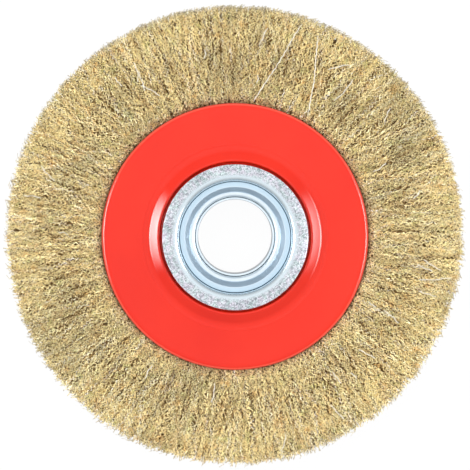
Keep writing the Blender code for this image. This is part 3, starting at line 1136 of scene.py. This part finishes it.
face_wires("front_wires_deep", COARSE_WIRES, 1700, 0.9, 1.5, 21)
face_wires("front_wires_low", FINE_WIRES, 1100, 0.6, 1.0, 25)
face_wires("front_wires_middle", FINE_WIRES, 2640, 0.3, 0.7, 24)
face_wires("front_wires_top", FINE_WIRES, 2640, 0.0, 0.35, 22)
rear_wires = face_wires("rear_wires", COARSE_WIRES, 1700, 0.0, 1.2, 23, side=-1)
rear_wires.data.transform(Matrix.Rotation(math.pi, 4, "X"))

# %% [markdown]
# Seen from the side, a wire wheel shows the cut ends of its wires, like a short stiff carpet. These
# are shorter copies that stand out of the core all round the rim.

# %% The wires of the rim
RIM_WIRES = 5200
RIM_HALF_WIDTH = BRUSH_FACE - 1.0 * MM
RIM_SPLAY = 0.05
RIM_LEAN = math.radians(5)


def rim_wires(name, count, seed):
    """Short wires that stand out all round the rim."""
    draw = np.random.default_rng(seed)
    angle = draw.uniform(0, FULL_TURN, count)
    pick = draw.integers(0, len(STUB_WIRES), count)
    batches = []
    for i, shape in enumerate(STUB_WIRES):
        a = angle[pick == i]
        start_z = draw.uniform(-RIM_HALF_WIDTH, RIM_HALF_WIDTH, (len(a), 1))
        splay = draw.normal(0, RIM_SPLAY, (len(a), 1)) * shape.length

        def height_at(radius, share):
            return np.clip(start_z + splay * share, -RIM_HALF_WIDTH, RIM_HALF_WIDTH)

        points = bent_round(shape, a, tip_radius(a, draw) - shape.length,
                            draw.uniform(0, FULL_TURN, len(a)),
                            draw.normal(0, RIM_LEAN, len(a)), height_at,
                            draw.uniform(*CRIMPS, len(a)), draw)
        batches.append((shape, points, draw.uniform(0, 1, len(a))))
    return joined(name, batches, BRASSY_WIRE)


rim_wires("rim_wires", RIM_WIRES, 31)

# %% [markdown]
# A few wires have sprung out and lie across the others, bare of brass and almost white. Four of them
# can be made out in the photograph. Each is one longer wire with a gentle wave, laid between two
# places on the face, and some short ones are strewn about by chance.

# %% Stray wires
StrayRun = namedtuple("StrayRun", "start_deg start_mm end_deg end_mm")
SEEN_STRAYS = [StrayRun(82.2, 58.6, 72.6, 95.5), StrayRun(59.0, 60.5, 67.9, 94.0),
               StrayRun(54.0, 72.0, 53.3, 84.0), StrayRun(-13.2, 81.0, -10.7, 94.5)]
SHORT_STRAYS = 26
STRAY = WireKind(24, 1.6 * MM, 0.16 * MM, 0.14 * MM, 0.27 * MM)
STRAY_RIDES = 0.35 * MM
STRAY_SUNK = 1.4 * MM
STRAY_SINKING_SHARE = 0.12
STRAY_BOW_MM = 0.35
STRAY_WAVE = 0.15 * MM
STRAY_SWINGS = (9, 14)
STRAY_TINT = 0.5


def bare_steel():
    finish = Finish("bare_steel_wire", 0.35)
    spots = finish.noise(finish.place(), 500, 2)
    finish.colour(finish.ramp(spots, [(0.3, (0.78, 0.74, 0.66)), (0.6, (0.97, 0.96, 0.93))]))
    finish.roughness(0.3 + 0.2 * spots)
    return finish.material


def laid_between(shape, run, draw):
    """Points of a wire that is stretched from one place on the face to another."""
    ends = [Vector((math.cos(math.radians(angle)), math.sin(math.radians(angle)))) * mm * MM
            for angle, mm in ((run.start_deg, run.start_mm), (run.end_deg, run.end_mm))]
    chord = np.array(ends[1] - ends[0])
    across = np.array((-chord[1], chord[0])) / np.linalg.norm(chord)
    share = shape.points[:, 2] / shape.length
    bow = draw.normal(0, STRAY_BOW_MM) * MM * np.sin(math.pi * share)
    wave = STRAY_WAVE * np.sin(draw.uniform(*STRAY_SWINGS) * share)
    aside = shape.points[:, 0] + bow + wave
    flat = np.array(ends[0]) + chord * share[:, None] + across * aside[:, None]
    sunk = STRAY_SUNK * sum(sinking(share, STRAY_SINKING_SHARE))
    height = brush_face(np.hypot(flat[:, 0], flat[:, 1])) + STRAY_RIDES + shape.points[:, 1] - sunk
    return np.column_stack([flat, height])[None]


def short_stray(draw):
    angle, radius = draw.uniform(0, 360), draw.uniform(62, 88)
    return StrayRun(angle, radius, angle + draw.normal(0, 2.5), radius + draw.uniform(3, 9))


stray_draw = np.random.default_rng(41)
stray_runs = SEEN_STRAYS + [short_stray(stray_draw) for i in range(SHORT_STRAYS)]
stray_shapes = [wire_shape("stray_%d" % i, STRAY, stray_draw) for i in range(len(stray_runs))]
joined("stray_wires", [(shape, laid_between(shape, run, stray_draw), np.array([STRAY_TINT]))
                       for run, shape in zip(stray_runs, stray_shapes)], bare_steel())

# %% [markdown]
# The hoop that holds the wires is buried in the brush. No view shows it, so it stays as it is in the
# model and only gets the finish of plain drawn steel, for anyone who cuts the wheel open.

# %% The hoop inside
def drawn_steel():
    finish = Finish("drawn_steel", 1.0)
    scale_marks = finish.noise(finish.place(), 240, 4, 0.6)
    finish.colour(finish.ramp(scale_marks, [(0.35, (0.30, 0.29, 0.28)), (0.65, (0.50, 0.50, 0.51))]))
    finish.roughness(0.3 + 0.25 * scale_marks)
    finish.bump(scale_marks, 0.2, 0.1 * MM)
    return finish.material


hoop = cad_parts["retaining_hoop"]
hoop.data.materials.clear()
hoop.data.materials.append(drawn_steel())
print("hoop:", hoop.name, [material.name for material in hoop.data.materials])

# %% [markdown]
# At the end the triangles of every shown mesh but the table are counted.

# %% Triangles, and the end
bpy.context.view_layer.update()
added = [o for o in bpy.context.scene.objects if o.type == "MESH" and o is not floor
         and not o.hide_render]
print("triangles in all:", sum(len(f.vertices) - 2 for o in added for f in o.data.polygons))
